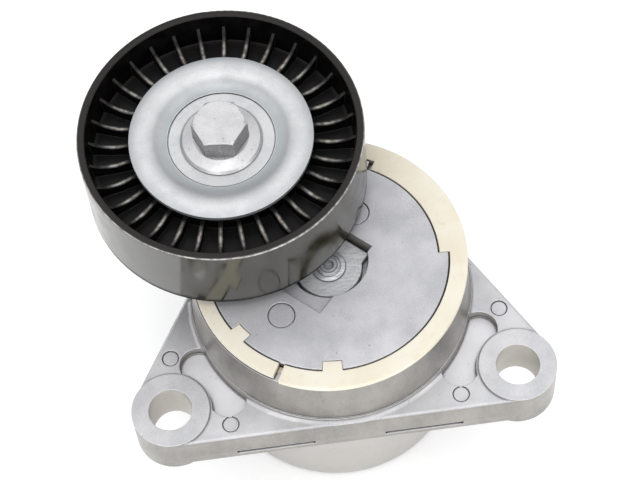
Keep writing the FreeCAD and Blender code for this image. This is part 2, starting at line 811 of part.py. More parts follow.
def make_pulley_body():
    """Moulded pulley: rim, web, hub and thin ribs on both faces."""
    rim = on_pulley_axis("rim", [
        ("bearing_outside", "web_low"),
        ("rim_root_radius", "web_low"),
        ("pulley_radius - rim_thickness", "pulley_low + rim_bevel"),
        ("pulley_radius - rim_thickness + rim_bevel", "pulley_low"),
        ("pulley_radius - rim_edge", "pulley_low"),
        ("pulley_radius", "pulley_low + rim_edge", "rim_edge"),
        ("pulley_radius", "pulley_top - rim_edge"),
        ("pulley_radius - rim_edge", "pulley_top", "rim_edge"),
        ("pulley_radius - rim_thickness + rim_bevel", "pulley_top"),
        ("pulley_radius - rim_thickness", "pulley_top - rim_bevel"),
        ("rim_root_radius", "web_top"),
        ("bearing_outside", "web_top"),
    ])
    return finish(fuse("pulley", rim, make_ribbed_hub()), "pulley_body")


def make_bearing_rings():
    """Inner and outer races, each with its ball groove."""
    high = "bearing_low + bearing_width"
    middle = "bearing_low + bearing_width / 2"
    inner_half = "sqrt(groove_radius ^ 2 - (ball_circle_radius - inner_land_radius) ^ 2)"
    outer_half = "sqrt(groove_radius ^ 2 - (outer_land_radius - ball_circle_radius) ^ 2)"
    seal_height = "(seal_inset + seal_thickness)"
    finish(on_pulley_axis("inner_race", [
        ("bearing_bore", "bearing_low"),
        ("inner_land_radius", "bearing_low"),
        ("inner_land_radius", "%s - %s" % (middle, inner_half)),
        ("inner_land_radius", "%s + %s" % (middle, inner_half), "-groove_radius"),
        ("inner_land_radius", high),
        ("bearing_bore", high),
    ]), "bearing_inner_ring")
    finish(on_pulley_axis("outer_race", [
        ("seal_outer_radius", "bearing_low"),
        ("bearing_outside", "bearing_low"),
        ("bearing_outside", high),
        ("seal_outer_radius", high),
        ("seal_outer_radius", "%s - %s" % (high, seal_height)),
        ("outer_land_radius", "%s - %s" % (high, seal_height)),
        ("outer_land_radius", "%s + %s" % (middle, outer_half)),
        ("outer_land_radius", "%s - %s" % (middle, outer_half), "-groove_radius"),
        ("outer_land_radius", "bearing_low + " + seal_height),
        ("seal_outer_radius", "bearing_low + " + seal_height),
    ]), "bearing_outer_ring")


def make_seals():
    """Rubber seal at each face of the bearing."""
    lows = {
        "bearing_seal_rear": "bearing_low + seal_inset",
        "bearing_seal_front": "bearing_low + bearing_width - seal_inset - seal_thickness",
    }
    lip = "inner_land_radius + seal_gap"
    for label, low in lows.items():
        finish(on_pulley_axis(label + "_disc", [
            (lip, low),
            ("seal_outer_radius", low),
            ("seal_outer_radius", low + " + seal_thickness"),
            (lip, low + " + seal_thickness"),
        ]), label)


def ball_place(step):
    """Centre of ball number step, or of a rivet at a half step."""
    x = "pulley_x + ball_circle_radius * cos(%s * 360 / ball_count)" % step
    y = "pulley_y + ball_circle_radius * sin(%s * 360 / ball_count)" % step
    return x, y


def make_balls():
    """The bearing's balls, one node each."""
    middle = "bearing_low + bearing_width / 2"
    for step in range(SIZES["ball_count"]):
        x, y = ball_place(step)
        finish(ball("ball_solid_%d" % step, "ball_radius", x, y, middle), "bearing_ball_%d" % (step + 1))


def make_cage_half(side, sign):
    """One pressed half of the cage: a flat ring with a cap over each ball."""
    middle = "bearing_low + bearing_width / 2"
    faces = [middle, "%s + (%d) * cage_thickness" % (middle, sign)]
    reach = "%s + (%d) * cage_cap_radius" % (middle, sign)
    low, high = faces if sign > 0 else faces[::-1]
    band_low, band_high = (middle, reach) if sign > 0 else (reach, middle)
    centre = ("pulley_x", "pulley_y")
    flat = cylinder(side + "_cage_flat", "cage_outer_radius", low, high, *centre)
    caps = []
    pockets = []
    rivet_holes = []
    for step in range(SIZES["ball_count"]):
        x, y = ball_place(step)
        caps.append(ball("%s_cap_%d" % (side, step), "cage_cap_radius", x, y, middle))
        pockets.append(ball("%s_pocket_%d" % (side, step), "cage_pocket_radius", x, y, middle))
        x, y = ball_place(step + 0.5)
        rivet_holes.append(cylinder("%s_rivet_hole_%d" % (side, step), "cage_rivet_radius",
                                    band_low + " - margin", band_high + " + margin", x, y))
    band = cylinder(side + "_cage_band", "cage_outer_radius", band_low, band_high, *centre)
    domes = common(side + "_cage_domes", fuse(side + "_caps", *caps), band)
    bore = cylinder(side + "_cage_bore", "cage_inner_radius", band_low + " - margin", band_high + " + margin",
                    *centre)
    blank = fuse(side + "_cage_blank", flat, domes)
    return finish(cut(side + "_cage", blank, bore, *pockets, *rivet_holes), "bearing_cage_" + side)


def make_cage_rivets():
    """The rivets that hold the cage's halves together, as one group."""
    middle = "bearing_low + bearing_width / 2"
    rivets = []
    for step in range(SIZES["ball_count"]):
        x, y = ball_place(step + 0.5)
        rivets.append(cylinder("cage_rivet_%d" % step, "cage_rivet_radius", middle + " - cage_rivet_reach",
                               middle + " + cage_rivet_reach", x, y))
    group = document.addObject("Part::Compound", "rivet_group")
    group.Links = rivets
    return finish(group, "bearing_cage_rivets")


def make_front_shield():
    """Pressed dust shield: flat centre inside a fine groove, then a smooth roll up to a crest and down."""
    flat_low = "bearing_low + bearing_width"
    flat_top = flat_low + " + shield_thickness"
    lean = "(2 * atan(shield_rise / shield_run))"
    bend = "(shield_run / (2 * sin(%s)))" % lean
    trough_radius = "(shield_flat_radius + shield_groove_width)"
    trough = "(%s + shield_step)" % flat_top
    turn_radius = "(%s + shield_run / 2)" % trough_radius
    turn = "(%s + shield_rise / 2)" % trough
    crest_radius = "(%s + shield_run)" % trough_radius
    crest = "(%s + shield_rise)" % trough
    fall = "(shield_radius - %s)" % crest_radius
    centre = "(%s - shield_crest_radius)" % crest
    rim_top = "%s + sqrt(shield_crest_radius ^ 2 - %s ^ 2)" % (centre, fall)
    rim_low = "%s + sqrt((shield_crest_radius - shield_thickness) ^ 2 - %s ^ 2)" % (centre, fall)
    under_turn_radius = "%s + shield_thickness * sin(%s)" % (turn_radius, lean)
    under_turn = "%s - shield_thickness * cos(%s)" % (turn, lean)
    return finish(on_pulley_axis("front_dish", [
        ("clear_hole_radius", flat_low),
        ("shield_flat_radius", flat_low),
        (trough_radius, trough + " - shield_thickness"),
        (under_turn_radius, under_turn, bend + " + shield_thickness"),
        (crest_radius, crest + " - shield_thickness", "-(%s - shield_thickness)" % bend),
        ("shield_radius", rim_low, "-(shield_crest_radius - shield_thickness)"),
        ("shield_radius", rim_top),
        (crest_radius, crest, "shield_crest_radius"),
        (turn_radius, turn, bend),
        (trough_radius, trough, "-" + bend),
        (trough_radius, flat_top + " - shield_groove_depth"),
        ("shield_flat_radius", flat_top + " - shield_groove_depth"),
        ("shield_flat_radius", flat_top),
        ("clear_hole_radius", flat_top),
    ]), "front_dust_shield")


def make_rear_shield():
    """Rear dust shield, clamped between the arm's seat and the bearing."""
    outer_low = "seat_top - rear_shield_drop"
    slope_start = "seat_radius + rear_shield_ledge"
    slope_end = slope_start + " + rear_shield_drop"
    return finish(on_pulley_axis("rear_dish", [
        ("clear_hole_radius", "seat_top"),
        (slope_start, "seat_top"),
        (slope_end, outer_low),
        ("rear_shield_radius", outer_low),
        ("rear_shield_radius", outer_low + " + rear_shield_thickness"),
        (slope_end + " + rear_shield_ledge", outer_low + " + rear_shield_thickness"),
        (slope_start + " + rear_shield_ledge", "seat_top + rear_shield_thickness"),
        ("clear_hole_radius", "seat_top + rear_shield_thickness"),
    ]), "rear_dust_shield")


def make_spacer():
    """Steel sleeve that fills the bearing's bore around the bolt."""
    high = "bearing_low + bearing_width"
    return finish(on_pulley_axis("sleeve", [
        ("clear_hole_radius", "bearing_low"),
        ("bearing_bore", "bearing_low"),
        ("bearing_bore", high),
        ("clear_hole_radius", high),
    ]), "spacer_sleeve")


def make_pulley_bolt():
    """M10 bolt with a flange and a hexagon head."""
    flange_low = "bearing_low + bearing_width + shield_thickness"
    shank = on_pulley_axis("shank", [
        ("0", "bolt_low"),
        ("bolt_radius - bolt_point", "bolt_low"),
        ("bolt_radius", "bolt_low + bolt_point"),
        ("bolt_radius", flange_low),
        ("bolt_flange_radius", flange_low),
        ("bolt_flange_radius", flange_low + " + bolt_flange_edge"),
        ("bolt_shoulder_radius", flange_low + " + bolt_flange_edge + bolt_shoulder_rise"),
        ("hex_corner_radius", "bolt_collar_top"),
        ("0", "bolt_collar_top"),
    ])
    prism = document.addObject("Part::Prism", "hexagon")
    prism.Polygon = 6
    bind(prism, Circumradius="hex_corner_radius", Height="hex_top - (%s)" % flange_low)
    place(prism, "pulley_x", "pulley_y", flange_low, "hex_angle")
    crown_foot = "hex_crown_radius + (hex_top - (%s)) / tan(hex_crown_angle)" % flange_low
    crown = cone("crown", crown_foot, "hex_crown_radius", flange_low, "hex_top", "pulley_x", "pulley_y")
    head = common("bolt_head", prism, crown)
    return finish(fuse("bolt", shank, head), "pulley_bolt")


def check():
    """Stop if any object failed or any sub-part isn't a valid solid."""
    document.recompute()
    for thing in document.Objects:
        if "Invalid" in thing.State or "Error" in thing.State:
            raise RuntimeError("%s failed: %s" % (thing.Label, thing.State))
    for thing in nodes:
        shape = thing.Shape
        if shape.isNull() or not shape.isValid() or not shape.Solids:
            raise RuntimeError("%s has no valid solid" % thing.Label)


make_base_housing()
make_pivot_bushing()
make_foot_washer()
make_torsion_spring()
make_tension_arm()
make_damper_ring()
make_pivot_shaft()
make_retainer_washer()
make_pulley_body()
make_bearing_rings()
make_seals()
make_balls()
make_cage_half("upper", 1)
make_cage_half("lower", -1)
make_cage_rivets()
make_front_shield()
make_rear_shield()
make_spacer()
make_pulley_bolt()
check()

os.makedirs("parts", exist_ok=True)
for node in nodes:
    node.Shape.exportStep("parts/%s.step" % node.Label)
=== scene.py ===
"""Materials, light and camera for the belt tensioner idler. Lengths are in metres unless a name says mm."""

import json
import math

import bpy
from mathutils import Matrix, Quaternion, Vector


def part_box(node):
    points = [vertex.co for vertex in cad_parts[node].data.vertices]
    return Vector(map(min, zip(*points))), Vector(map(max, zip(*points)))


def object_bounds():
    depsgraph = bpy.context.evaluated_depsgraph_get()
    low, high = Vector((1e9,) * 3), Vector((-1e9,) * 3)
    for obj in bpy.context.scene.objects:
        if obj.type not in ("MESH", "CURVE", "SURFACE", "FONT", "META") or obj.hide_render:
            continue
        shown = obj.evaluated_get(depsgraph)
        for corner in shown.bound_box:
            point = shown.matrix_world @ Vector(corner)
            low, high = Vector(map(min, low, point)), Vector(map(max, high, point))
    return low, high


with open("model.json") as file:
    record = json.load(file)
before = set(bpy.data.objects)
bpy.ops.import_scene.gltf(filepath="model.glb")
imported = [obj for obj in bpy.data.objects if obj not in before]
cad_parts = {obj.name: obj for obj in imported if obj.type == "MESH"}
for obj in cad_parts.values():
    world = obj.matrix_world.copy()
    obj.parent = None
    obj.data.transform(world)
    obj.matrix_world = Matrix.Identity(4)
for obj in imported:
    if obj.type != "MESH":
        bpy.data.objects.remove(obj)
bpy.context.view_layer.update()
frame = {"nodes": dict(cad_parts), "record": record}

MM = 0.001
PIVOT_AXIS = (0.0, 0.0)


# ---- small helpers for node graphs ----

def plug(tree, socket, value):
    """Gives socket its value: a number, a colour or the output socket that feeds it."""
    if isinstance(value, bpy.types.NodeSocket):
        tree.links.new(value, socket)
    else:
        socket.default_value = value


def node(tree, kind, inputs=None, **settings):
    """Adds a node with its settings and inputs."""
    made = tree.nodes.new("ShaderNode" + kind)
    for name, value in settings.items():
        setattr(made, name, value)
    for name, value in (inputs or {}).items():
        plug(tree, made.inputs[name], value)
    return made


def feed(tree, shader, **inputs):
    """Gives the shader's sockets their values by name, with underscores for spaces."""
    for name, value in inputs.items():
        plug(tree, shader.inputs[name.replace("_", " ")], value)


def material(name):
    """An empty material, its node tree and its shader."""
    made = bpy.data.materials.new(name)
    made.use_nodes = True
    tree = made.node_tree
    tree.nodes.clear()
    shader = node(tree, "BsdfPrincipled")
    node(tree, "OutputMaterial", {"Surface": shader.outputs[0]})
    return made, tree, shader


def mix_surface(tree, amount, first, second):
    """Puts a mix of two shaders on the surface."""
    mixed = node(tree, "MixShader", {0: amount, 1: first.outputs[0], 2: second.outputs[0]})
    tree.links.new(mixed.outputs[0], tree.nodes["Material Output"].inputs["Surface"])


def colour(red, green, blue):
    return (red, green, blue, 1.0)


def scaled(tone, factor):
    """The same tone, lighter or darker."""
    return colour(*[factor * part for part in tone[:3]])


def maths(tree, operation, first, second=0.0):
    return node(tree, "Math", {0: first, 1: second}, operation=operation).outputs[0]


def times(tree, first, *others):
    """The product of masks and numbers."""
    for other in others:
        first = maths(tree, "MULTIPLY", first, other)
    return first


def spread(tree, value, low, high, to_low=0.0, to_high=1.0):
    """Stretches low..high to to_low..to_high, smoothly and held at both ends."""
    ends = {"Value": value, "From Min": low, "From Max": high, "To Min": to_low, "To Max": to_high}
    return node(tree, "MapRange", ends, interpolation_type="SMOOTHSTEP").outputs["Result"]


def below(tree, value, full, none):
    """1 up to full, falling to 0 at none."""
    return spread(tree, value, full, none, 1.0, 0.0)


def blend(tree, amount, first, second):
    """Mixes two colours by amount."""
    return node(tree, "Mix", {0: amount, 6: first, 7: second}, data_type="RGBA").outputs[2]


# ---- where a point lies ----

def position(tree):
    """Object coordinates, which are the row frame's own."""
    return node(tree, "TexCoord").outputs["Object"]


def from_axis(tree, axis):
    """The way from a vertical axis: across, along and height."""
    foot = (axis[0], axis[1], 0.0)
    shifted = node(tree, "VectorMath", {0: position(tree), 1: foot}, operation="SUBTRACT")
    return node(tree, "SeparateXYZ", {0: shifted.outputs[0]}).outputs


def around(tree, axis):
    """Radius about a vertical axis, and height."""
    across, along, height = from_axis(tree, axis)
    flat = node(tree, "CombineXYZ", {0: across, 1: along, 2: 0.0}).outputs[0]
    return node(tree, "VectorMath", {0: flat}, operation="LENGTH").outputs["Value"], height


def off_spoke(tree, axis, radius, count, first_angle):
    """Distance to the middle line of the nearest of count even spokes."""
    across, along = from_axis(tree, axis)[:2]
    bearing = maths(tree, "SUBTRACT", maths(tree, "ARCTAN2", along, across), first_angle)
    half_pitch = math.pi / count
    aside = node(tree, "Math", {0: bearing, 1: half_pitch, 2: -half_pitch}, operation="WRAP").outputs[0]
    return times(tree, maths(tree, "ABSOLUTE", aside), radius)


def tilt(tree):
    """Height of the surface normal: 1 on level tops, 0 on walls."""
    normal = node(tree, "TexCoord").outputs["Normal"]
    return node(tree, "SeparateXYZ", {0: normal}).outputs[2]


def facing_up(tree):
    """1 on faces that look up, 0 on upright and lower faces."""
    return spread(tree, tilt(tree), 0.3, 0.9)


# ---- patterns ----

def noise(tree, where, size_mm, detail=2.0, roughness=0.5):
    """Noise whose blotches are about size_mm across."""
    inputs = {"Vector": where, "Scale": 1.0 / (size_mm * MM), "Detail": detail, "Roughness": roughness}
    return node(tree, "TexNoise", inputs).outputs["Fac"]


def patches(tree, where, size_mm, low, high, amount=1.0, detail=2.0, roughness=0.5):
    """Patches of noise: 0 where it is under low, amount where it is over high."""
    return spread(tree, noise(tree, where, size_mm, detail, roughness), low, high, 0.0, amount)


def specks(tree, where, size_mm, level):
    """Scattered small spots: a higher level leaves fewer."""
    return patches(tree, where, size_mm, low=level, high=level + 0.04)


def rounded(tree, radius_mm):
    """Normals that round every edge by radius_mm."""
    return node(tree, "Bevel", {"Radius": radius_mm * MM}, samples=6).outputs[0]


def edges(tree, radius_mm, amount):
    """Amount along edges sharper than radius_mm, 0 on open faces."""
    true = node(tree, "NewGeometry").outputs["Normal"]
    pair = {0: rounded(tree, radius_mm), 1: true}
    agree = node(tree, "VectorMath", pair, operation="DOT_PRODUCT").outputs["Value"]
    return times(tree, spread(tree, maths(tree, "SUBTRACT", 1.0, agree), 0.01, 0.12), amount)


def corners(tree, reach_mm):
    """1 deep in corners and slots, 0 in the open."""
    open_sky = node(tree, "AmbientOcclusion", {"Distance": reach_mm * MM}, samples=6).outputs["AO"]
    return maths(tree, "SUBTRACT", 1.0, open_sky)


def outline(tree, reach_mm, amount):
    """Amount at the foot of a step or in a fine gap, falling to 0 well within reach_mm."""
    return spread(tree, corners(tree, reach_mm), 0.10, 0.30, 0.0, amount)


def relief(tree, height, depth_mm, under):
    """Bump of depth_mm where height runs from 0 to 1, on the normals under it."""
    inputs = {"Height": height, "Distance": depth_mm * MM, "Strength": 1.0, "Normal": under}
    return node(tree, "Bump", inputs).outputs["Normal"]


# ---- die-cast aluminium ----

# Heights of the band below the plate that is painted lighter, as light from the white floor.
FLOOR_LIT_BELOW = -1.0 * MM
CAST_ABOVE = -0.2 * MM
BORE_REACH = 6.0 * MM
POCKET_FLOOR = 11.0 * MM
FLOOR_LIT_SPIGOT = colour(0.46, 0.445, 0.42)
DRILLED_BORE = colour(0.46, 0.43, 0.385)
POCKET_PAINTED_LIGHT = colour(0.90, 0.895, 0.925)
WALL_SHEEN = colour(0.40, 0.38, 0.34)
TOP_SHEEN = colour(0.70, 0.70, 0.72)
CAST_FLECK = colour(0.82, 0.82, 0.83)
CAST_SMUDGE = colour(0.24, 0.20, 0.17)
CAST_PIT = colour(0.12, 0.10, 0.09)
CAST_PAINTED_SHADE = colour(0.020, 0.016, 0.015)
CAST_EDGE_WEAR_AND_HIGHLIGHT = colour(0.90, 0.90, 0.91)


def cast_wall(tree, where, height, shaded_side, bore_axes):
    """Upright faces: streaky die skin painted darker as shade, painted lighter below the plate as light
    from the floor, and lighter machined ear bores.
    """
    upright = node(tree, "Mapping", {"Vector": where, "Scale": (1.0, 1.0, 0.25)}).outputs[0]
    streaks = patches(tree, upright, 6.0, low=0.35, high=0.7, detail=4.0, roughness=0.65)
    wall = blend(tree, streaks, scaled(shaded_side, 1.12), scaled(shaded_side, 0.80))
    # Painted light: below the plate the wall is lighter, as if lit by the white floor.
    wall = blend(tree, below(tree, height, FLOOR_LIT_BELOW, CAST_ABOVE), wall, FLOOR_LIT_SPIGOT)
    for axis in bore_axes:
        radius = around(tree, axis)[0]
        wall = blend(tree, below(tree, radius, BORE_REACH, BORE_REACH + 0.2 * MM), wall, DRILLED_BORE)
    return wall


def die_cast(name, top, top_dark, shaded_side, shade_reach_mm, pocket_light=0.0, bore_axes=()):
    """Die-cast aluminium: satin blotchy tops, streaky walls painted darker as shade, painted sheen, pocket
    floors painted lighter as reflected light, pits, smudges, painted shade lines at step feet, and edges
    lighter as wear and painted highlight.
    """
    made, tree, shader = material(name)
    where = position(tree)
    height = node(tree, "SeparateXYZ", {0: where}).outputs[2]
    up = facing_up(tree)
    grain = noise(tree, where, 0.35, 3.0, 0.65)
    blotches = patches(tree, where, 9.0, low=0.34, high=0.68, detail=4.0, roughness=0.6)
    pocket = below(tree, height, POCKET_FLOOR + 0.3 * MM, POCKET_FLOOR + 0.9 * MM)
    above = blend(tree, blotches, top, top_dark)
    # Painted light: pocket floors lighter, standing in for reflected light.
    above = blend(tree, times(tree, pocket, pocket_light), above, POCKET_PAINTED_LIGHT)
    # Painted shade: upright walls get a darker tone than the tops.
    skin = blend(tree, up, cast_wall(tree, where, height, shaded_side, bore_axes), above)
    # Painted sheen: broad lighter patches, as a soft highlight.
    sheen = patches(tree, where, 25.0, low=0.38, high=0.64, amount=0.28, detail=3.0, roughness=0.6)
    skin = blend(tree, sheen, skin, blend(tree, up, WALL_SHEEN, TOP_SHEEN))
    flecks = times(tree, spread(tree, grain, 0.42, 0.7), spread(tree, up, 0.0, 1.0, 0.08, 0.22))
    skin = blend(tree, flecks, skin, CAST_FLECK)
    smudges = patches(tree, where, 7.0, low=0.66, high=0.78, amount=0.45, detail=4.0, roughness=0.7)
    skin = blend(tree, smudges, skin, CAST_SMUDGE)
    skin = blend(tree, times(tree, specks(tree, where, 0.9, level=0.71), 0.5), skin, CAST_PIT)
    # Painted shade: dark lines at the feet of steps and in fine gaps.
    skin = blend(tree, outline(tree, shade_reach_mm, 0.9), skin, CAST_PAINTED_SHADE)
    # Edges lighter: partly wear, partly a painted highlight.
    skin = blend(tree, edges(tree, 0.3, 0.7), skin, CAST_EDGE_WEAR_AND_HIGHLIGHT)
    normal = relief(tree, blotches, 0.03, rounded(tree, 0.3))
    normal = relief(tree, grain, 0.02, normal)
    rough = spread(tree, maths(tree, "ADD", up, blotches), 0.0, 2.0, 0.30, 0.52)
    feed(tree, shader, Base_Color=skin, Metallic=0.6, Roughness=rough, Normal=normal)
    return made


# ---- nylon ----

IVORY = colour(0.74, 0.705, 0.60)
IVORY_YELLOWED = colour(0.70, 0.64, 0.51)
IVORY_STAIN = colour(0.46, 0.36, 0.24)
IVORY_CORNER_SHADE = colour(0.40, 0.29, 0.16)
IVORY_GAP_SHADE = colour(0.07, 0.035, 0.02)

RIB_COUNT = 32
RIB_ANGLE = math.radians(4.5)
RIB_CROWN_LOW = 53.2 * MM
BLACK = colour(0.002, 0.0018, 0.0018)
BLACK_CLOUD = colour(0.004, 0.0035, 0.0035)
BLACK_LIT_TOP = colour(0.014, 0.013, 0.013)
BLACK_LIT_RIM_TOP = colour(0.026, 0.024, 0.023)
CROWN_HIGHLIGHT = colour(0.32, 0.30, 0.27)
CROWN_HIGHLIGHT_CORE = colour(0.50, 0.475, 0.43)
RIB_EDGE_HIGHLIGHT = colour(0.22, 0.21, 0.19)
TRACK = colour(0.009, 0.008, 0.001)
TRACK_CLOUD = colour(0.018, 0.016, 0.005)
LIP_HIGHLIGHT = colour(0.52, 0.50, 0.475)


def ivory_nylon():
    """Moulded nylon: warm ivory, cloudy and stained, with painted brown shade in corners and a painted dark
    shade line in the gaps.
    """
    made, tree, shader = material("ivory_nylon")
    where = position(tree)
    cloud = patches(tree, where, 12.0, low=0.32, high=0.68, detail=4.0, roughness=0.6)
    stain = patches(tree, where, 3.0, low=0.60, high=0.78, amount=0.45, detail=4.0, roughness=0.7)
    skin = blend(tree, cloud, IVORY, IVORY_YELLOWED)
    skin = blend(tree, stain, skin, IVORY_STAIN)
    # Painted shade: browner in corners.
    skin = blend(tree, times(tree, corners(tree, 1.6), 0.35), skin, IVORY_CORNER_SHADE)
    # Painted shade: a dark line in the gaps.
    skin = blend(tree, outline(tree, 0.5, 0.85), skin, IVORY_GAP_SHADE)
    normal = relief(tree, noise(tree, where, 0.5), 0.012, rounded(tree, 0.35))
    feed(tree, shader, Base_Color=skin, Roughness=spread(tree, cloud, 0.0, 1.0, 0.42, 0.55), Normal=normal,
         Subsurface_Weight=0.12, Subsurface_Radius=(0.002, 0.0015, 0.001), Subsurface_Scale=1.0)
    return made


def moulded_body(tree, axis, radius, height, cloud, highlight_breakup, rim_radius):
    """Colour of the pulley's ribs, web and rim: nearly black, with tops painted lighter as light and
    painted highlight lines on the rib crowns.
    """
    up = facing_up(tree)
    skin = blend(tree, cloud, BLACK, BLACK_CLOUD)
    # Painted light: upward faces a little lighter than the black.
    skin = blend(tree, times(tree, up, 0.8), skin, BLACK_LIT_TOP)
    rim = spread(tree, radius, rim_radius, rim_radius + 1.0 * MM)
    # Painted light: the rim's top lighter still.
    skin = blend(tree, times(tree, up, rim), skin, BLACK_LIT_RIM_TOP)
    high = spread(tree, height, RIB_CROWN_LOW, RIB_CROWN_LOW + 0.2 * MM)
    from_hub = spread(tree, radius, 24.8 * MM, 28.0 * MM)
    to_rim = below(tree, radius, 28.5 * MM, 33.5 * MM)
    crown = times(tree, up, high, from_hub, to_rim, highlight_breakup)
    aside = off_spoke(tree, axis, radius, RIB_COUNT, RIB_ANGLE)
    # Painted highlight: a pale streak along each rib crown, brightest part way out, with a brighter core
    # along its middle.
    skin = blend(tree, times(tree, crown, 0.35), skin, CROWN_HIGHLIGHT)
    # Painted highlight along the rib edges.
    skin = blend(tree, edges(tree, 0.2, times(tree, highlight_breakup, 0.35)), skin, RIB_EDGE_HIGHLIGHT)
    return blend(tree, times(tree, crown, below(tree, aside, 0.12 * MM, 0.38 * MM)), skin, CROWN_HIGHLIGHT_CORE)


def black_nylon(axis, track_radius, track_low):
    """Black nylon: a polished belt track above a dark band of painted shade at its foot, and a dark moulded
    body with painted highlights on the ribs.
    """
    made, tree, body = material("black_nylon")
    where = position(tree)
    radius, height = around(tree, axis)
    cloud = patches(tree, where, 5.0, low=0.35, high=0.7, detail=3.0)
    # Uneven strength for the painted highlights on ribs, rib edges and lip.
    highlight_breakup = spread(tree, noise(tree, where, 1.6, 3.0), 0.35, 0.65, 0.25, 0.9)
    skin = moulded_body(tree, axis, radius, height, cloud, highlight_breakup, track_radius - 4.5 * MM)
    feed(tree, body, Base_Color=skin, Roughness=spread(tree, cloud, 0.0, 1.0, 0.24, 0.36), IOR=1.20,
         Normal=relief(tree, noise(tree, where, 0.5), 0.006, rounded(tree, 0.45)))

    lines = noise(tree, height, 0.6, 3.0)
    slope = tilt(tree)
    # Painted highlight on the sloped lip of the track.
    lip_highlight_mask = times(tree, spread(tree, slope, 0.30, 0.50), below(tree, slope, 0.80, 0.95), highlight_breakup)
    track_with_lip_highlight = blend(tree, lip_highlight_mask, blend(tree, cloud, TRACK, TRACK_CLOUD), LIP_HIGHLIGHT)
    track = node(tree, "BsdfPrincipled")
    feed(tree, track, Base_Color=track_with_lip_highlight, IOR=1.88,
         Roughness=spread(tree, maths(tree, "ADD", cloud, lines), 0.2, 1.6, 0.09, 0.22),
         Normal=relief(tree, lines, 0.003, rounded(tree, 0.3)))

    # Painted shade: the lowest band of the track gets the dark body shader, as the shade where the pulley
    # meets the disc.
    outside = spread(tree, radius, track_radius - 0.5 * MM, track_radius - 0.05 * MM)
    above_shade_band = spread(tree, height, track_low + 0.9 * MM, track_low + 2.3 * MM)
    mix_surface(tree, times(tree, outside, above_shade_band), body, track)
    return made


# ---- steel ----

VALLEY_START = 14.4 * MM
VALLEY_END = 19.0 * MM
SHIELD_RIM = 24.5 * MM
SHIELD_PAINTED_SHADE = colour(0.41, 0.435, 0.45)
ZINC_GRAIN = colour(0.85, 0.85, 0.86)
ZINC_SPOT = colour(0.16, 0.14, 0.13)
ZINC_PAINTED_SHADE = colour(0.05, 0.05, 0.06)
ZINC_EDGE_WEAR_AND_HIGHLIGHT = colour(0.90, 0.91, 0.92)
STEEL_CORNER_SHADE = colour(0.10, 0.10, 0.10)
STEEL_PAINTED_SHADE = colour(0.03, 0.03, 0.03)
GROOVE_SHADE = colour(0.05, 0.05, 0.05)
STEEL_EDGE_WEAR_AND_HIGHLIGHT = colour(0.88, 0.88, 0.89)
WORN_POLYMER = colour(0.22, 0.22, 0.22)


def shield_shade(tree, radius):
    """Painted shade on the pressed shield: in the valley round the bolt and towards the rim."""
    inside = spread(tree, radius, VALLEY_START, VALLEY_START + 0.3 * MM)
    valley = times(tree, inside, below(tree, radius, VALLEY_START + 0.3 * MM, VALLEY_END))
    rim = spread(tree, radius, SHIELD_RIM - 3.0 * MM, SHIELD_RIM, 0.0, 0.55)
    return maths(tree, "MAXIMUM", valley, rim)


def zinc(name, bright, dull, shaded_side, rough, line=0.85, spot_level=None, shield_axis=None):
    """Zinc plate on steel: pale satin tops, walls painted darker as shade, faint clouds, fine spots,
    painted shade lines at step feet and edges lighter as wear and painted highlight.

    A shield also has turning marks and painted shade about its axis.
    """
    made, tree, shader = material(name)
    where = position(tree)
    grain = noise(tree, where, 0.3, 3.0, 0.6)
    cloud = patches(tree, where, 5.0, low=0.32, high=0.70, detail=4.0, roughness=0.6)
    # Painted shade: walls darker than the tops.
    wall = blend(tree, cloud, shaded_side, scaled(shaded_side, 0.7))
    skin = blend(tree, facing_up(tree), wall, blend(tree, cloud, bright, dull))
    skin = blend(tree, spread(tree, grain, 0.4, 0.75, 0.0, 0.3), skin, ZINC_GRAIN)
    if spot_level is not None:
        skin = blend(tree, times(tree, specks(tree, where, 0.8, spot_level), 0.55), skin, ZINC_SPOT)
    # Painted shade: dark lines at the feet of steps and in fine gaps.
    skin = blend(tree, outline(tree, 0.45, line), skin, ZINC_PAINTED_SHADE)
    # Edges lighter: partly wear, partly a painted highlight.
    skin = blend(tree, edges(tree, 0.2, 0.5), skin, ZINC_EDGE_WEAR_AND_HIGHLIGHT)
    normal = relief(tree, grain, 0.008, rounded(tree, 0.2))
    if shield_axis is not None:
        radius = around(tree, shield_axis)[0]
        # Painted shade on the shield's valley and outer slope.
        skin = blend(tree, shield_shade(tree, radius), skin, SHIELD_PAINTED_SHADE)
        normal = relief(tree, noise(tree, radius, 0.25, 3.0), 0.003, normal)
    feed(tree, shader, Base_Color=skin, Metallic=0.85, Normal=normal,
         Roughness=spread(tree, cloud, 0.0, 1.0, rough - 0.05, rough + 0.05))
    return made


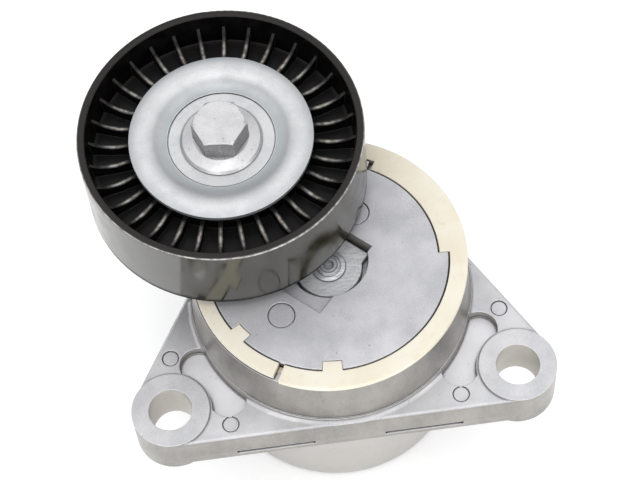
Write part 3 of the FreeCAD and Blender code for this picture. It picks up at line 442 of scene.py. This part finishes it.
def turned_steel(name, bright, dull, axis, low_rough, high_rough, metallic, grooves=()):
    """Turned or ground steel with rings about its axis, rubbed streaks, painted shade in corners, at step
    feet and in fine grooves, and edges lighter as wear and painted highlight.
    """
    made, tree, shader = material(name)
    where = position(tree)
    radius, height = around(tree, axis)
    profile = node(tree, "CombineXYZ", {0: radius, 1: height, 2: 0.0}).outputs[0]
    rings = noise(tree, profile, 0.3, 4.0)
    turn = {"Vector": where, "Rotation": (0.0, 0.0, 0.6), "Scale": (1.0, 6.0, 1.0)}
    scratched = node(tree, "Mapping", turn).outputs[0]
    streaks = patches(tree, scratched, 3.0, low=0.38, high=0.66, detail=5.0, roughness=0.7)
    marks = maths(tree, "ADD", rings, streaks)
    skin = blend(tree, times(tree, marks, 0.5), bright, dull)
    # Painted shade: darker in corners.
    skin = blend(tree, times(tree, corners(tree, 1.0), 0.4), skin, STEEL_CORNER_SHADE)
    # Painted shade: dark lines at the feet of steps and in fine gaps.
    skin = blend(tree, outline(tree, 0.45, 0.9), skin, STEEL_PAINTED_SHADE)
    # Edges lighter: partly wear, partly a painted highlight.
    skin = blend(tree, edges(tree, 0.2, 0.5), skin, STEEL_EDGE_WEAR_AND_HIGHLIGHT)
    # Painted shade: thin dark rings where fine grooves run round the axis.
    for groove in grooves:
        away = maths(tree, "ABSOLUTE", maths(tree, "SUBTRACT", radius, groove))
        skin = blend(tree, spread(tree, away, 0.05 * MM, 0.16 * MM, 0.75, 0.0), skin, GROOVE_SHADE)
    feed(tree, shader, Base_Color=skin, Metallic=metallic,
         Roughness=spread(tree, marks, 0.4, 1.5, low_rough, high_rough),
         Normal=relief(tree, rings, 0.012, rounded(tree, 0.2)))
    return made


def dark_polymer(name, base_light, base_dark, low_rough, high_rough):
    """Rubber, filled polymer or dark coating: matt and finely pebbled."""
    made, tree, shader = material(name)
    where = position(tree)
    cloud = patches(tree, where, 2.5, low=0.35, high=0.68, detail=3.0)
    skin = blend(tree, cloud, base_light, base_dark)
    skin = blend(tree, edges(tree, 0.2, 0.4), skin, WORN_POLYMER)
    feed(tree, shader, Base_Color=skin, Roughness=spread(tree, cloud, 0.0, 1.0, low_rough, high_rough),
         Normal=relief(tree, noise(tree, where, 0.25), 0.01, rounded(tree, 0.2)))
    return made


# ---- which material goes where ----

def centre(name):
    """Where a node's middle stands, seen from above."""
    lowest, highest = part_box(name)
    middle = (lowest + highest) / 2
    return middle.x, middle.y


pulley_low, pulley_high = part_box("pulley_body")
pulley_axis = centre("pulley_body")
pulley_radius = (pulley_high.x - pulley_low.x) / 2
ear_axes = [[sum(pair) / 2 for pair in zip(*opening["box_m"])][:2]
            for opening in frame["record"]["physics"]["openings"]]

SLOTS = {
    "cast_aluminium": die_cast(
        "cast_aluminium", top=colour(0.535, 0.53, 0.54), top_dark=colour(0.45, 0.45, 0.465),
        shaded_side=colour(0.24, 0.228, 0.208), shade_reach_mm=0.85, pocket_light=0.9, bore_axes=ear_axes),
    "arm_aluminium": die_cast(
        "arm_aluminium", top=colour(0.49, 0.485, 0.505), top_dark=colour(0.42, 0.42, 0.44),
        shaded_side=colour(0.18, 0.17, 0.16), shade_reach_mm=0.6),
    "damper_nylon": ivory_nylon(),
    "pulley_nylon": black_nylon(pulley_axis, pulley_radius, pulley_low.z),
    "zinc_sheet": zinc(
        "zinc_sheet", bright=colour(0.60, 0.605, 0.605), dull=colour(0.55, 0.56, 0.57),
        shaded_side=colour(0.50, 0.51, 0.53), rough=0.56, line=0.45, spot_level=0.76, shield_axis=pulley_axis),
    "zinc_bolt": zinc(
        "zinc_bolt", bright=colour(0.60, 0.595, 0.60), dull=colour(0.52, 0.51, 0.515),
        shaded_side=colour(0.25, 0.245, 0.25), rough=0.42, spot_level=0.67),
    "shaft_steel": turned_steel(
        "shaft_steel", bright=colour(0.86, 0.87, 0.90), dull=colour(0.36, 0.36, 0.39), axis=PIVOT_AXIS,
        low_rough=0.36, high_rough=0.55, metallic=0.6, grooves=(1.3 * MM, 2.3 * MM, 3.3 * MM)),
    "bushing_plastic": dark_polymer(
        "bushing_plastic", colour(0.10, 0.10, 0.095), colour(0.06, 0.06, 0.057), 0.45, 0.60),
    "spring_steel": dark_polymer(
        "spring_steel", colour(0.05, 0.05, 0.055), colour(0.03, 0.03, 0.034), 0.35, 0.5),
    "bearing_steel": turned_steel(
        "bearing_steel", bright=colour(0.60, 0.60, 0.61), dull=colour(0.46, 0.46, 0.47), axis=pulley_axis,
        low_rough=0.12, high_rough=0.22, metallic=0.95),
    "cage_steel": zinc(
        "cage_steel", bright=colour(0.50, 0.48, 0.45), dull=colour(0.38, 0.36, 0.34),
        shaded_side=colour(0.36, 0.34, 0.32), rough=0.4),
    "seal_rubber": dark_polymer(
        "seal_rubber", colour(0.022, 0.022, 0.022), colour(0.012, 0.012, 0.012), 0.5, 0.7),
}
rubbed_washer = turned_steel(
    "rubbed_washer", bright=colour(0.95, 0.96, 0.97), dull=colour(0.42, 0.43, 0.45), axis=PIVOT_AXIS,
    low_rough=0.30, high_rough=0.50, metallic=0.35)

slot_of = {part["node"]: part["material_slot"] for part in frame["record"]["subparts"]}
for name, piece in frame["nodes"].items():
    piece.data.materials.clear()
    piece.data.materials.append(rubbed_washer if name == "retainer_washer" else SLOTS[slot_of[name]])


# ---- stage ----

FLOOR_HALF = 4.0
FLOOR_TONE = colour(0.94, 0.94, 0.94)
FLOOR_GLOW = 0.12
HORIZON = colour(0.62, 0.63, 0.65)
HALF_WAY_UP = colour(0.95, 0.96, 0.98)
OVERHEAD = colour(1.30, 1.30, 1.31)
CAMERA_PLACE = Vector((-12.58, -269.32, 558.91)) * MM
CAMERA_AIM = Vector((-1.41, 6.29, 33.23)) * MM
CAMERA_ROLL = math.radians(-5.36)
CAMERA_LENS_MM = 124.04
CAMERA_SENSOR_MM = 36.0
LAMPS = {
    "key": {"place": Vector((-0.14, -0.10, 1.10)), "size": 0.6, "power": 1.4},
    "right": {"place": Vector((0.70, -0.80, 0.42)), "size": 0.7, "power": 3.0},
    "front": {"place": Vector((-0.45, -0.95, 0.42)), "size": 0.7, "power": 3.4},
}

lowest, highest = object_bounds()


def make_floor(level):
    """Plain pale floor that the barrel stands on, glowing a little, and clear when seen from below."""
    mesh = bpy.data.meshes.new("floor")
    ends = (-FLOOR_HALF, FLOOR_HALF)
    mesh.from_pydata([(x, y, level) for y in ends for x in ends], [], [(0, 1, 3, 2)])
    floor = bpy.data.objects.new("floor", mesh)
    bpy.context.scene.collection.objects.link(floor)
    made, tree, shader = material("pale_floor")
    feed(tree, shader, Base_Color=FLOOR_TONE, Roughness=0.8, Emission_Color=colour(1.0, 1.0, 1.0),
         Emission_Strength=FLOOR_GLOW)
    underneath = node(tree, "NewGeometry").outputs["Backfacing"]
    mix_surface(tree, underneath, shader, node(tree, "BsdfTransparent"))
    mesh.materials.append(made)


def make_lamp(name, place, aim, size, power):
    """Square soft lamp at place, turned to aim."""
    lamp = bpy.data.lights.new(name, "AREA")
    lamp.shape = "SQUARE"
    lamp.size = size
    lamp.energy = power
    held = bpy.data.objects.new(name, lamp)
    bpy.context.scene.collection.objects.link(held)
    held.location = place
    held.rotation_mode = "QUATERNION"
    held.rotation_quaternion = (aim - place).to_track_quat("-Z", "Y")


def make_world():
    """Pale surroundings, dimmest at the horizon and brightest overhead."""
    world = bpy.data.worlds.new("studio")
    world.use_nodes = True
    tree = world.node_tree
    tree.nodes.clear()
    where = node(tree, "TexCoord").outputs["Generated"]
    height = node(tree, "SeparateXYZ", {0: where}).outputs[2]
    sky = blend(tree, spread(tree, height, 0.0, 0.5), HORIZON, HALF_WAY_UP)
    sky = blend(tree, spread(tree, height, 0.55, 0.95), sky, OVERHEAD)
    background = node(tree, "Background", {"Color": sky, "Strength": 1.0})
    node(tree, "OutputWorld", {"Surface": background.outputs[0]})
    bpy.context.scene.world = world


def make_camera():
    """Long lens from high in front, rolled a little."""
    lens = bpy.data.cameras.new("camera")
    lens.lens = CAMERA_LENS_MM
    lens.sensor_width = CAMERA_SENSOR_MM
    camera = bpy.data.objects.new("camera", lens)
    bpy.context.scene.collection.objects.link(camera)
    camera.location = CAMERA_PLACE
    camera.rotation_mode = "QUATERNION"
    unrolled = (CAMERA_AIM - CAMERA_PLACE).to_track_quat("-Z", "Y")
    camera.rotation_quaternion = unrolled @ Quaternion((0.0, 0.0, 1.0), CAMERA_ROLL)
    bpy.context.scene.camera = camera


make_floor(lowest.z)
make_world()
make_camera()
for name, lamp in LAMPS.items():
    make_lamp(name, lamp["place"], (lowest + highest) / 2, lamp["size"], lamp["power"])
bpy.context.scene.view_settings.view_transform = "Standard"
